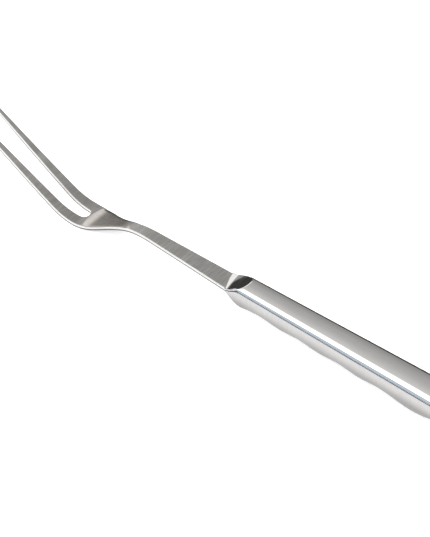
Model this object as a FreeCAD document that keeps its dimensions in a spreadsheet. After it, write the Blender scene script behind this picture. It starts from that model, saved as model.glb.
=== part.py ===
"""Two-tine roasting fork: a bent steel strip welded into a hollow two-shell handle.

Everything is laid out from the neck, where the full-width strip ends and the handle begins:
X runs along the handle, away from the tines, and Z = 0 is the seam of the two shells.
REST_PLACEMENT then moves the fork to where it lies on a table, on its heel and its palm swell.
"""
import FreeCAD
import Part
import Sketcher
import math
import os

Vector = FreeCAD.Vector

# ---------------------------------------------------------------- driving dimensions, mm and degrees
SIZES = {
    # the strip: tines, shoulder, shank and tang
    "strip_thickness": 2.4,
    "strip_below_seam": 4.03,       # from the seam down to the middle of the strip, at the neck
    "tang_length": 22.0,
    "tang_clearance": 0.15,         # between the tang's sides and the inside of the shells
    "shank_length": 52.5,           # straight part, from the neck to the first bend
    "shank_rise": 1.71,             # angle, up towards the tines
    "neck_half_width": 5.48,
    "waist_half_width": 3.2,
    "waist_distance": 62.3,
    "upper_bend_radius": 54.0,
    "shoulder_drop": 20.9,          # angle, down towards the tines
    "heel_bend_radius": 32.4,
    "tine_rise": 27.5,              # angle where the tines leave the heel
    "tine_sweep_radius": 990.0,     # the tines curve up a little
    "waist_fillet_radius": 56.0,    # in plan, where the waist opens into the shoulder
    "shoulder_round_radius": 56.0,  # in plan, where the shoulder turns into the tines
    "tine_reach": 182.5,            # level distance from the neck to the tips
    "tip_half_spread": 8.1,         # outer edge of each tine at its tip
    "tip_width": 1.2,
    "tine_taper": 1.1,              # angle, outer edges towards each other
    "slot_distance": 97.5,          # level distance from the neck to the slot's closed end
    "slot_root_radius": 3.3,
    # the handle
    "handle_length": 137.0,
    "shell_wall": 1.0,
    "front_half_width": 5.95,
    "rear_half_width": 8.35,
    "front_crown_height": 3.2,
    "rear_crown_height": 4.4,
    "crown_squareness": 2.3,
    "belly_squareness": 3.2,
    "rest_depth": 15.5,             # from the seam down to the table, at the heel and the palm swell
    "grip_depth": 12.1,             # mean depth of the finger grips at their front
    "grip_taper": 0.0185,           # how the mean depth grows along the handle
    "grip_wave": 0.55,              # half of the height between a swell and a valley
    "grip_pitch": 24.4,
    "first_valley": 21.0,
    "palm_swell": 113.0,
    "side_rounding": 12.0,          # length over which the rear end closes, seen from above
    "crown_rounding": 9.0,          # and seen from the side, above the seam
    "nose_lap": 2.5,                # how far the lower shell's nose laps forward under the shank
    "nose_length": 11.3,
    "scoop_radius": 19.0,
    "scoop_start_angle": 12.0,
    "seam_weld_width": 1.0,
    "under_weld_length": 1.2,
}
GRIP_VALLEYS = 4
TRIM = 12.0            # how far cutting tools run past what they cut
SECTION_POINTS = 12    # points round half of one section of the handle
REAR_SPANS = 9         # spans between sections where the rear end closes
REAR_CLOSING = 0.93    # share of a quarter turn that the rear end closes before its small flat face

doc = FreeCAD.newDocument("roasting_fork")
sheet = doc.addObject("Spreadsheet::Sheet", "sizes")
for row, (alias, value) in enumerate(SIZES.items(), start=1):
    sheet.set(f"A{row}", alias)
    sheet.set(f"B{row}", str(value))
    sheet.setAlias(f"B{row}", alias)
doc.recompute()


def size(alias):
    """Value of one driving dimension, read back from the sheet."""
    return float(sheet.get(alias))


def angle(alias):
    """Value of one driving angle, in radians."""
    return math.radians(size(alias))


MIDDLE_X = (size("handle_length") - size("tine_reach")) / 2
REST_PLACEMENT = FreeCAD.Placement(Vector(-MIDDLE_X, 0, size("rest_depth")), FreeCAD.Rotation())


def put(item, base=Vector(), rotation=FreeCAD.Rotation()):
    """Place an object that is laid out from the neck where it lies at rest."""
    item.Placement = REST_PLACEMENT * FreeCAD.Placement(base, rotation)


# ---------------------------------------------------------------- the strip's centre line, in X and Z
def shoulder_length():
    """Straight stretch between the two bends that puts the heel on the table."""
    rise = size("shank_length") * math.sin(angle("shank_rise"))
    upper_drop = size("upper_bend_radius") * (math.cos(angle("shank_rise")) - math.cos(angle("shoulder_drop")))
    heel_drop = size("heel_bend_radius") * (1 - math.cos(angle("shoulder_drop")))
    above_table = size("rest_depth") - size("strip_below_seam") - size("strip_thickness") / 2
    return (above_table + rise - upper_drop - heel_drop) / math.sin(angle("shoulder_drop"))


def step(point, heading, length):
    """Point a straight length further towards the tines, at a heading above level."""
    return point + Vector(-length * math.cos(heading), length * math.sin(heading))


def turn(point, heading, new_heading, radius):
    """End and centre of an arc towards the tines that turns from one heading to another."""
    side = 1 if new_heading > heading else -1
    centre = point + Vector(side * radius * math.sin(heading), side * radius * math.cos(heading))
    end = centre - Vector(side * radius * math.sin(new_heading), side * radius * math.cos(new_heading))
    return end, centre


def centre_line():
    """Points and arc centres of the strip's middle, from the tang's end to past the tips."""
    rise, drop, lift = angle("shank_rise"), -angle("shoulder_drop"), angle("tine_rise")
    neck = Vector(0, -size("strip_below_seam"))
    tang = step(neck, rise, -size("tang_length") / math.cos(rise))
    upper = step(neck, rise, size("shank_length"))
    shoulder, upper_centre = turn(upper, rise, drop, size("upper_bend_radius"))
    heel = step(shoulder, drop, shoulder_length())
    tines, heel_centre = turn(heel, drop, lift, size("heel_bend_radius"))
    sweep = size("tine_sweep_radius")
    sweep_angle = (size("tine_reach") + tines.x + TRIM) / (sweep * math.cos(lift))
    tips, sweep_centre = turn(tines, lift, lift + sweep_angle, sweep)
    return {"tang": tang, "upper": upper, "shoulder": shoulder, "heel": heel, "tines": tines, "tips": tips,
            "upper_centre": upper_centre, "heel_centre": heel_centre, "sweep_centre": sweep_centre}


# ---------------------------------------------------------------- sketch helpers
def origin_plane(body, role):
    return next(item for item in body.Origin.OriginFeatures if item.Role == role)


def new_sketch(body, name, role, offset=None):
    """Empty sketch on one of the body's own origin planes."""
    sketch = body.newObject("Sketcher::SketchObject", name)
    sketch.AttachmentSupport = (origin_plane(body, role), [""])
    sketch.MapMode = "FlatFace"
    if offset:
        sketch.setExpression("AttachmentOffset.Base.z", offset)
    return sketch


def add_line(sketch, start, end):
    return sketch.addGeometry(Part.LineSegment(start, end))


def add_arc(sketch, start, end, centre):
    """Shorter arc from start to end; returns its index and its two ends' numbers in the sketch."""
    radius = (start - centre).Length
    first = math.atan2(start.y - centre.y, start.x - centre.x)
    last = math.atan2(end.y - centre.y, end.x - centre.x)
    forwards = (last - first) % (2 * math.pi) < math.pi
    if not forwards:
        first, last = last, first
    if last < first:
        last += 2 * math.pi
    circle = Part.Circle(centre, Vector(0, 0, 1), radius)
    index = sketch.addGeometry(Part.ArcOfCircle(circle, first, last))
    return (index, 1, 2) if forwards else (index, 2, 1)


def fix(sketch, kind, places, expression):
    """Dimension on the geometry given by places, bound to an expression of the sheet's sizes."""
    value = sketch.evalExpression(expression)
    value = math.radians(value.Value) if kind == "Angle" else float(value)
    index = sketch.addConstraint(Sketcher.Constraint(kind, *places, value))
    sketch.setExpression(f"Constraints[{index}]", expression)


def fix_point(sketch, place, x_expression, y_expression):
    fix(sketch, "DistanceX", place, x_expression)
    fix(sketch, "DistanceY", place, y_expression)


def tie(sketch, kind, *places):
    """Constraint without a size, such as a tangent or a vertical line."""
    sketch.addConstraint(Sketcher.Constraint(kind, *places))


# ---------------------------------------------------------------- the fork head: strip, then its outline
START, END, CENTRE = 1, 2, 3
BELOW = "sizes.strip_below_seam"
RISE = "(sizes.shank_rise * 1 deg)"


def draw_centre_line(body):
    """Tang and shank, upper bend, shoulder, heel bend and tines, seen from the side."""
    sketch = new_sketch(body, "strip_path", "XZ_Plane")
    line = centre_line()
    shank = add_line(sketch, line["tang"], line["upper"])
    upper, upper_start, upper_end = add_arc(sketch, line["upper"], line["shoulder"], line["upper_centre"])
    shoulder = add_line(sketch, line["shoulder"], line["heel"])
    heel, heel_start, heel_end = add_arc(sketch, line["heel"], line["tines"], line["heel_centre"])
    tines, tines_start, tines_end = add_arc(sketch, line["tines"], line["tips"], line["sweep_centre"])
    tie(sketch, "Tangent", shank, END, upper, upper_start)
    tie(sketch, "Tangent", upper, upper_end, shoulder, START)
    tie(sketch, "Tangent", shoulder, END, heel, heel_start)
    tie(sketch, "Tangent", heel, heel_end, tines, tines_start)
    fix_point(sketch, (shank, START), "sizes.tang_length", f"-{BELOW} - sizes.tang_length * tan{RISE}")
    fix_point(sketch, (shank, END), f"-sizes.shank_length * cos{RISE}",
              f"sizes.shank_length * sin{RISE} - {BELOW}")
    fix(sketch, "Radius", (upper,), "sizes.upper_bend_radius")
    fix(sketch, "Angle", (shoulder,), "(sizes.shoulder_drop - 180) * 1 deg")
    fix(sketch, "Radius", (heel,), "sizes.heel_bend_radius")
    fix(sketch, "DistanceY", (heel, CENTRE),
        "sizes.heel_bend_radius + sizes.strip_thickness / 2 - sizes.rest_depth")
    fix(sketch, "DistanceX", (heel, heel_end, heel, CENTRE),
        "sizes.heel_bend_radius * sin(sizes.tine_rise * 1 deg)")
    fix(sketch, "Radius", (tines,), "sizes.tine_sweep_radius")
    fix(sketch, "DistanceX", (tines, tines_end), f"-sizes.tine_reach - {TRIM}")
    return sketch


def draw_section(body):
    """The strip's section before its outline is cut, at the tang's end."""
    sketch = new_sketch(body, "strip_section", "YZ_Plane", "sizes.tang_length")
    middle = centre_line()["tang"].y
    half = size("strip_thickness") / 2
    corners = [Vector(-TRIM, middle - half), Vector(TRIM, middle - half),
               Vector(TRIM, middle + half), Vector(-TRIM, middle + half)]
    sides = [add_line(sketch, corner, corners[(index + 1) % 4]) for index, corner in enumerate(corners)]
    for index, side in enumerate(sides):
        tie(sketch, "Coincident", side, END, sides[(index + 1) % 4], START)
        tie(sketch, "Vertical" if index % 2 else "Horizontal", side)
    fix(sketch, "DistanceX", (sides[0], START), f"-{TRIM}")
    fix(sketch, "DistanceX", (sides[0], END), f"{TRIM}")
    bottom = f"-{BELOW} - sizes.tang_length * tan{RISE} - sizes.strip_thickness / 2"
    fix(sketch, "DistanceY", (sides[0], START), bottom)
    fix(sketch, "DistanceY", (sides[1], START, sides[1], END), "sizes.strip_thickness")
    return sketch


def shank_half_width(distance):
    """Half of the shank's width at a level distance from the neck towards the waist."""
    change = size("waist_half_width") - size("neck_half_width")
    return size("neck_half_width") + change * distance / size("waist_distance")


def tang_half_width():
    return shank_half_width(size("nose_lap")) - size("shell_wall") - size("tang_clearance")


TANG_HALF_WIDTH = ("sizes.neck_half_width + (sizes.waist_half_width - sizes.neck_half_width) * sizes.nose_lap"
                   " / sizes.waist_distance - sizes.shell_wall - sizes.tang_clearance")


def shoulder_arcs():
    """Centres and ends of the two plan arcs that open the waist into the shoulder."""
    waist = Vector(-size("waist_distance"), size("waist_half_width"))
    shank_slope = Vector(size("waist_distance"), size("neck_half_width") - size("waist_half_width"))
    outward = Vector(-shank_slope.y, shank_slope.x).normalize()
    waist_centre = waist + outward * size("waist_fillet_radius")
    taper = angle("tine_taper")
    along, away = Vector(math.cos(taper), math.sin(taper)), Vector(-math.sin(taper), math.cos(taper))
    tip = Vector(-size("tine_reach"), size("tip_half_spread"))
    first = tip - away * size("shoulder_round_radius")
    reach = size("waist_fillet_radius") + size("shoulder_round_radius")
    gap = first - waist_centre
    back = along.dot(gap)
    round_centre = first + along * (-back - math.sqrt(back ** 2 - gap.dot(gap) + reach ** 2))
    share = size("waist_fillet_radius") / reach
    middle = waist_centre + (round_centre - waist_centre) * share
    edge = round_centre + away * size("shoulder_round_radius")
    return waist, waist_centre, middle, round_centre, edge, tip


def draw_side_waste(body):
    """What the stamping removes beside the strip, on its far side."""
    sketch = new_sketch(body, "side_waste", "XY_Plane")
    waist, waist_centre, middle, round_centre, edge, tip = shoulder_arcs()
    far = size("tang_length") + TRIM
    past = -size("tine_reach") - 2 * TRIM
    tang_half, neck_half = tang_half_width(), size("neck_half_width")
    corners = [edge, tip, Vector(tip.x, 0), Vector(past, 0), Vector(past, TRIM + 1), Vector(far, TRIM + 1),
               Vector(far, tang_half), Vector(0, tang_half), Vector(0, neck_half), waist]
    lines = [add_line(sketch, start, end) for start, end in zip(corners, corners[1:])]
    waist_arc, waist_start, waist_end = add_arc(sketch, waist, middle, waist_centre)
    round_arc, round_start, round_end = add_arc(sketch, middle, edge, round_centre)
    for first, second in zip(lines, lines[1:]):
        tie(sketch, "Coincident", first, END, second, START)
    tie(sketch, "Tangent", lines[-1], END, waist_arc, waist_start)
    tie(sketch, "Tangent", waist_arc, waist_end, round_arc, round_start)
    tie(sketch, "Tangent", round_arc, round_end, lines[0], START)
    for index in (1, 3, 5, 7):
        tie(sketch, "Vertical", lines[index])
    for index in (2, 4, 6):
        tie(sketch, "Horizontal", lines[index])
    fix_point(sketch, (lines[0], END), "-sizes.tine_reach", "sizes.tip_half_spread")
    fix(sketch, "DistanceY", (lines[1], END), "0 mm")
    fix(sketch, "DistanceX", (lines[2], END), f"-sizes.tine_reach - {2 * TRIM}")
    fix_point(sketch, (lines[4], END), f"sizes.tang_length + {TRIM}", f"{TRIM + 1}")
    fix_point(sketch, (lines[6], END), "0 mm", TANG_HALF_WIDTH)
    fix(sketch, "DistanceY", (lines[7], END), "sizes.neck_half_width")
    fix_point(sketch, (lines[8], END), "-sizes.waist_distance", "sizes.waist_half_width")
    fix(sketch, "Angle", (lines[0],), "(sizes.tine_taper - 180) * 1 deg")
    fix(sketch, "Radius", (waist_arc,), "sizes.waist_fillet_radius")
    fix(sketch, "Radius", (round_arc,), "sizes.shoulder_round_radius")
    return sketch


def draw_slot(body):
    """The gap between the tines, with a round closed end."""
    sketch = new_sketch(body, "tine_slot", "XY_Plane")
    radius = size("slot_root_radius")
    centre = Vector(-size("slot_distance") - radius, 0)
    tip = Vector(-size("tine_reach"), size("tip_half_spread") - size("tip_width"))
    reach = tip - centre
    bearing = math.atan2(reach.y, reach.x) - math.acos(radius / reach.Length)
    touch = centre + Vector(radius * math.cos(bearing), radius * math.sin(bearing))
    tip_mirror, touch_mirror = Vector(tip.x, -tip.y), Vector(touch.x, -touch.y)
    far_wall = add_line(sketch, tip, touch)
    near_wall = add_line(sketch, touch_mirror, tip_mirror)
    mouth = add_line(sketch, tip_mirror, tip)
    root, root_start, root_end = add_arc(sketch, touch_mirror, touch, centre)
    tie(sketch, "Coincident", near_wall, END, mouth, START)
    tie(sketch, "Coincident", mouth, END, far_wall, START)
    tie(sketch, "Tangent", near_wall, START, root, root_start)
    tie(sketch, "Tangent", far_wall, END, root, root_end)
    tie(sketch, "Vertical", mouth)
    fix_point(sketch, (root, CENTRE), "-sizes.slot_distance - sizes.slot_root_radius", "0 mm")
    fix(sketch, "Radius", (root,), "sizes.slot_root_radius")
    fix_point(sketch, (far_wall, START), "-sizes.tine_reach", "sizes.tip_half_spread - sizes.tip_width")
    fix(sketch, "DistanceY", (near_wall, END), "sizes.tip_width - sizes.tip_half_spread")
    return sketch


def make_fork_head():
    body = doc.addObject("PartDesign::Body", "fork_head")
    body.Label = "fork_head"
    put(body)
    path = draw_centre_line(body)
    section = draw_section(body)
    doc.recompute()
    strip = body.newObject("PartDesign::AdditivePipe", "bent_strip")
    strip.Profile = section
    strip.Spine = (path, [f"Edge{number}" for number in range(1, path.GeometryCount + 1)])
    doc.recompute()
    waste = draw_side_waste(body)
    side = body.newObject("PartDesign::Pocket", "side_trim")
    side.Profile = waste
    side.Type = "ThroughAll"
    side.Midplane = True
    doc.recompute()
    mirrored = body.newObject("PartDesign::Mirrored", "other_side_trim")
    mirrored.Originals = [side]
    mirrored.MirrorPlane = (origin_plane(body, "XZ_Plane"), [""])
    body.Tip = mirrored
    doc.recompute()
    slot = body.newObject("PartDesign::Pocket", "slot_between_tines")
    slot.Profile = draw_slot(body)
    slot.Type = "ThroughAll"
    slot.Midplane = True
    body.Tip = slot
    doc.recompute()
    return body


# ---------------------------------------------------------------- the handle's outer and inner forms
def smooth(share):
    """Even rise from 0 to 1 with level ends."""
    return (1 - math.cos(math.pi * min(max(share, 0), 1))) / 2


def nose_share(x, inset):
    """How far the nose has filled out at x: 0 at its front, 1 where the grip begins."""
    return min((x + size("nose_lap") - inset) / size("nose_length"), 1)


def rounding(x, length, inset):
    """Closing of the rear end over a length: 1 before it, down to a small flat face at the end."""
    end = size("handle_length") - inset
    share = max((x - end + length) / length, 0) * math.sin(math.pi / 2 * REAR_CLOSING)
    return math.sqrt(1 - share ** 2)


def half_width(x, inset):
    slope = (size("rear_half_width") - size("front_half_width")) / size("handle_length")
    full = size("front_half_width") + slope * x - inset
    nose = shank_half_width(size("nose_lap")) - inset
    filled = nose + (full - nose) * math.sin(math.pi / 2 * nose_share(x, inset))
    return filled * rounding(x, size("side_rounding"), inset)


def crown_height(x, inset):
    slope = (size("rear_crown_height") - size("front_crown_height")) / size("handle_length")
    return (size("front_crown_height") + slope * x - inset) * rounding(x, size("crown_rounding"), inset)


def grip_profile(x):
    """Depth of the underside below the seam: finger grips, then the palm swell."""
    wave_end = size("first_valley") + (GRIP_VALLEYS - 1) * size("grip_pitch")
    phase = 2 * math.pi * (min(x, wave_end) - size("first_valley")) / size("grip_pitch")
    mean = size("grip_depth") + size("grip_taper") * (min(x, wave_end) - size("first_valley"))
    grips = mean - size("grip_wave") * math.cos(phase)
    swell = smooth((x - wave_end) / (size("palm_swell") - wave_end))
    return grips + (size("rest_depth") - grips) * swell


def belly_depth(x, inset):
    full = grip_profile(x) - inset
    nose = size("strip_below_seam") + size("strip_thickness") / 2
    filled = nose + (full - nose) * math.sin(math.pi / 2 * nose_share(x, inset))
    return filled * rounding(x, size("handle_length") - size("palm_swell"), inset)


def section_radius(bearing, width, height, squareness):
    """Distance from the section's middle to its edge, at a bearing from level."""
    across = abs(math.cos(bearing)) / width
    upright = abs(math.sin(bearing)) / height
    return (across ** squareness + upright ** squareness) ** (-1 / squareness)


def half_section(x, inset, above):
    """Closed D-shaped section at x: the low crown above the seam, or the deep belly below it."""
    height = crown_height(x, inset) if above else belly_depth(x, inset)
    squareness = size("crown_squareness") if above else size("belly_squareness")
    side = 1 if above else -1
    points = []
    for index in range(SECTION_POINTS + 1):
        bearing = math.pi * index / SECTION_POINTS
        radius = section_radius(bearing, half_width(x, inset), height, squareness)
        points.append(Vector(x, radius * math.cos(bearing), side * radius * math.sin(bearing)))
    curve = Part.BSplineCurve()
    curve.interpolate(Points=points, Parameters=[index / SECTION_POINTS for index in range(len(points))])
    return Part.Wire([curve.toShape(), Part.makeLine(points[-1], points[0])])


def stations(inset):
    """Places of the sections: close at the nose and at the rear end, even between."""
    front = inset - size("nose_lap")
    end = size("handle_length") - inset
    nose_end = front + size("nose_length")
    rear = size("palm_swell")
    nose = [front + (nose_end - front) * share for share in (0, 0.15, 0.35, 0.65)]
    spans = round((rear - nose_end) / (size("grip_pitch") / 6))
    grip = [nose_end + (rear - nose_end) * index / spans for index in range(spans)]
    closing = [rear + (end - rear) * math.sin(math.pi / 2 * index / REAR_SPANS)
               for index in range(REAR_SPANS + 1)]
    return nose + grip + closing


def handle_form(name, inset, above):
    """Solid of the handle's upper or lower half, drawn in by an inset."""
    form = doc.addObject("Part::Feature", name)
    form.Shape = Part.makeLoft([half_section(x, inset, above) for x in stations(inset)], True, False)
    put(form)
    return form


# ---------------------------------------------------------------- the scoop and the cutting blocks
def scoop_centre():
    """Middle of the round scoop, which starts on the shank's top face at the neck."""
    start = angle("scoop_start_angle")
    top = size("strip_thickness") / 2 - size("strip_below_seam")
    return Vector(-size("scoop_radius") * math.sin(start), 0, top + size("scoop_radius") * math.cos(start))


def seam_crossing(inset):
    """Where the scoop, or its inner face, comes up to the seam."""
    centre = scoop_centre()
    return centre.x + math.sqrt((size("scoop_radius") + inset) ** 2 - centre.z ** 2)


def scoop_cutter(name, inset):
    """Everything above the scoop: a round bar across the handle, and the open space before the neck."""
    centre = scoop_centre()
    bar = doc.addObject("Part::Cylinder", name + "_bar")
    bar.setExpression("Radius", f"sizes.scoop_radius + {inset}")
    bar.Height = 2 * TRIM
    put(bar, centre + Vector(0, TRIM, 0), FreeCAD.Rotation(Vector(1, 0, 0), 90))
    front = doc.addObject("Part::Box", name + "_front")
    floor = centre.z - math.sqrt((size("scoop_radius") + inset) ** 2 - centre.x ** 2)
    front.Length, front.Width, front.Height = 2 * TRIM, 2 * TRIM, 2 * TRIM
    put(front, Vector(-2 * TRIM, -TRIM, floor))
    return combine("Part::Fuse", name, bar, front)


def block(name, low, high):
    """Box between two corners, given by their places along, across and up."""
    box = doc.addObject("Part::Box", name)
    extent = high - low
    box.Length, box.Width, box.Height = extent.x, extent.y, extent.z
    put(box, low)
    return box


def combine(kind, name, base, tool):
    result = doc.addObject(kind, name)
    result.Label = name
    result.Base, result.Tool = base, tool
    return result


def cut(name, base, tool):
    return combine("Part::Cut", name, base, tool)


def common(name, base, tool):
    return combine("Part::Common", name, base, tool)


def hollow_half(name, above):
    """Wall of the upper or lower half: outer form less inner form, both cut by the scoop."""
    wall = size("shell_wall")
    outer = cut(f"{name}_outside", handle_form(f"{name}_outer_form", 0, above), scoop_cutter(f"{name}_scoop", 0))
    inner = cut(f"{name}_inside", handle_form(f"{name}_inner_form", wall, above),
                scoop_cutter(f"{name}_inner_scoop", wall))
    return cut(f"{name}_wall", outer, inner)


def make_handle(fork_head):
    """Both shells and their welds."""
    front = -size("nose_lap") - TRIM
    far = size("handle_length") + TRIM
    saddle = seam_crossing(size("shell_wall"))
    under = size("under_weld_length")
    bead = -size("seam_weld_width")
    middle = -size("strip_below_seam")
    deep = -3 * TRIM

    upper_shell = hollow_half("crown", True)
    upper_shell.Label = "handle_upper_shell"
    belly = cut("belly_round_tang", hollow_half("belly", False), fork_head)
    saddle_block = block("saddle_block", Vector(front, -TRIM, middle), Vector(saddle, TRIM, TRIM))
    nose_block = block("nose_block", Vector(front, -TRIM, deep), Vector(under, TRIM, middle))
    behind_block = block("behind_block", Vector(saddle, -TRIM, deep), Vector(far, TRIM, bead))
    beneath_block = block("beneath_block", Vector(under, -TRIM, deep), Vector(saddle, TRIM, middle))
    lower_block = combine("Part::Fuse", "lower_block", behind_block, beneath_block)
    near_block = block("near_block", Vector(saddle, -TRIM, bead), Vector(far, 0, TRIM))
    far_block = block("far_block", Vector(saddle, 0, bead), Vector(far, TRIM, TRIM))
    pieces = [
        upper_shell,
        common("handle_lower_shell", belly, lower_block),
        common("neck_weld_top", belly, saddle_block),
        common("neck_weld_under", belly, nose_block),
        common("seam_weld_near", belly, near_block),
        common("seam_weld_far", belly, far_block),
    ]
    doc.recompute()
    return pieces


# ---------------------------------------------------------------- build, check and write
fork_head = make_fork_head()
pieces = [fork_head] + make_handle(fork_head)

for item in doc.Objects:
    if "Invalid" in item.State or "Error" in item.State:
        raise RuntimeError(f"{item.Label} did not recompute: {item.State}")

os.makedirs("parts", exist_ok=True)
for piece in pieces:
    if piece.Shape.isNull() or not piece.Shape.isValid() or not piece.Shape.Solids:
        raise RuntimeError(f"{piece.Label} is not a valid solid")
    piece.Shape.exportStep(f"parts/{piece.Label}.step")
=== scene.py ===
"""Two-tined roasting fork with a hollow steel handle, laid out as an add-on and run as a script."""

import bisect
import math

import bmesh
import bpy
from bpy.props import FloatProperty, FloatVectorProperty, IntProperty, PointerProperty
from mathutils import Matrix, Vector


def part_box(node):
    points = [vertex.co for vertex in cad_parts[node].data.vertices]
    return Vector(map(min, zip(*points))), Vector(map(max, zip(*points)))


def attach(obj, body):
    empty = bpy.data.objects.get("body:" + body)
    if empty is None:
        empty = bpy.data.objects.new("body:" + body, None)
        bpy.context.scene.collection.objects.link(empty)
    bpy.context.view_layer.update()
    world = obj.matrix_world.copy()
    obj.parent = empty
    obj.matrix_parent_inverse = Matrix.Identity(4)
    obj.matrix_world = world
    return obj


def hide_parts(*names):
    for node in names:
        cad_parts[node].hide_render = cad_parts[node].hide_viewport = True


bl_info = {
    "name": "Roasting Fork",
    "version": (1, 0, 0),
    "blender": (4, 5, 0),
    "location": "3D View > Sidebar > Roasting Fork",
    "description": "Models a two-tined roasting fork with a hollow steel handle",
    "category": "Add Mesh",
}

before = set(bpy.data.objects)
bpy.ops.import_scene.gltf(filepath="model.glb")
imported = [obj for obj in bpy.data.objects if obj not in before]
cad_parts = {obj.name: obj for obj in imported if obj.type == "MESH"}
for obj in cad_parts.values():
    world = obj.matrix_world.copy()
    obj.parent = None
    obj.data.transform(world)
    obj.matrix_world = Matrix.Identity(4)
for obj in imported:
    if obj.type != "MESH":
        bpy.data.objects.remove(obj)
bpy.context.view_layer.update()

MM = 0.001
MERGE = 1e-6            # corners closer than this are one
REAR_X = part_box("handle_upper_shell")[1][0]
TINE_COLUMNS = 9        # columns of faces across a tine
EDGE_COLUMN = 0.13      # share of a tine's width in the column at each edge
ROOT_ROWS = 18          # rows of faces round the slot's closed end
STRIP_SAMPLES = 900     # quarter millimetres along the strip's middle line
CREASE_REACH = 0.006    # how far the rows beside the crease follow its bow
SHELL_COLUMNS = 84      # columns of faces over a shell
LIP_COLUMNS = 7         # columns of faces round a shell's lip
BEAD_COLUMNS = 10       # columns of faces across a bead
REAR_ROWS = 26          # rows of faces where the rear end closes
NOSE_WELD = 0.9 * MM    # length of the weld under the shank
SADDLE_WALL = 0.25 * MM
BEAD_WALL = 0.4 * MM
WEDGE_PEAK = 0.86       # where the wedge is widest, in lengths of the seam's start
WEDGE_CLOSE = 0.09      # how far behind that it has closed, in the same
LIP_LAP = 1.64          # rise of the upper lip in front of the neck, in half thicknesses
WHITE = (1.0, 1.0, 1.0)


def length(name, description, value):
    """Length property, its default given in millimetres."""
    return FloatProperty(name=name, description=description, default=value * MM, unit="LENGTH",
                         subtype="DISTANCE", precision=5)


def turn(name, description, degrees):
    """Angle property, its default given in degrees."""
    return FloatProperty(name=name, description=description, default=math.radians(degrees), unit="ROTATION",
                         subtype="ANGLE")


def share(name, description, value, low=0.0, high=1.0):
    """Plain number between two limits."""
    return FloatProperty(name=name, description=description, default=value, min=low, max=high)


def count(name, description, value, low=1):
    """Whole number."""
    return IntProperty(name=name, description=description, default=value, min=low)


def colour(name, description, value):
    """Linear colour property."""
    return FloatVectorProperty(name=name, description=description, default=value, subtype="COLOR", size=3,
                               min=0.0, max=1.0)


# ---- what a user would change
class ForkStripSizes(bpy.types.PropertyGroup):
    """Sizes of the bent strip; distances from the neck, at the handle's front, are level."""

    thickness: length("Thickness", "Thickness of the strip", 2.4)
    below_seam: length("Below Seam", "Strip's middle below the seam, at the neck", 4.03)
    hidden_length: length("Hidden Length", "Length of the strip inside the handle", 9.0)
    shank_length: length("Shank Length", "Straight from the neck to the upper bend", 52.5)
    shank_rise: turn("Shank Rise", "Rise of the shank towards the tines", 1.71)
    upper_bend: length("Upper Bend", "Radius of the bend down into the shoulder", 54.0)
    shoulder_drop: turn("Shoulder Drop", "Drop of the shoulder towards the tines", 20.9)
    shoulder_length: length("Shoulder Length", "Straight between the two bends", 17.31)
    heel_bend: length("Heel Bend", "Radius of the bend up into the tines", 32.4)
    tine_rise: turn("Tine Rise", "Rise of the tines where they leave the heel", 27.5)
    tine_sweep: length("Tine Sweep", "Radius of the tines' upward sweep", 990.0)
    tine_reach: length("Tine Reach", "Neck to the tips", 182.5)
    neck_half: length("Neck Half Width", "Half of the shank's width at the neck", 5.48)
    waist_half: length("Waist Half Width", "Half of the width at the waist", 3.2)
    waist_distance: length("Waist Distance", "Neck to the waist", 62.3)
    waist_fillet: length("Waist Fillet", "Plan radius where the waist opens", 56.0)
    shoulder_round: length("Shoulder Round", "Plan radius from shoulder to tines", 56.0)
    tine_taper: turn("Tine Taper", "Slope of the outer edges towards the tips", 1.1)
    tip_spread: length("Tip Spread", "Outer edge of each tine at its tip", 8.1)
    tip_width: length("Tip Width", "Width of a tine where its point begins", 1.2)
    slot_distance: length("Slot Distance", "Neck to the slot's closed end", 97.5)
    slot_radius: length("Slot Radius", "Radius of the slot's closed end", 3.3)
    arris: length("Arris", "Rounding along the strip's upper edges", 0.25)
    lower_arris: length("Lower Arris", "Rounding along the strip's lower edges", 0.5)
    point_length: length("Point Length", "Length over which a tine thins", 34.0)
    point_share: share("Point Share", "Share of the thickness left at the point", 0.42)
    polish_start: length("Polish Start", "Neck to the polished shoulder", 68.8)
    polish_skew: share("Polish Skew", "Skew of the polish's front edge", 0.92, -1.0, 1.0)
    crease_distance: length("Crease Distance", "Neck to the crease at the slot", 96.9)
    crease_bow: share("Crease Bow", "Bow of the crease across the strip, per metre", 26.0, -200.0, 200.0)
    dish_depth: length("Dish Depth", "Hollow that polishing leaves in the shoulder", 0.42)
    edge_drop: length("Edge Drop", "Height that polishing took off the edges", 0.4)
    rows_per_cm: count("Rows", "Rows of faces in a centimetre of strip", 12, 4)


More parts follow.
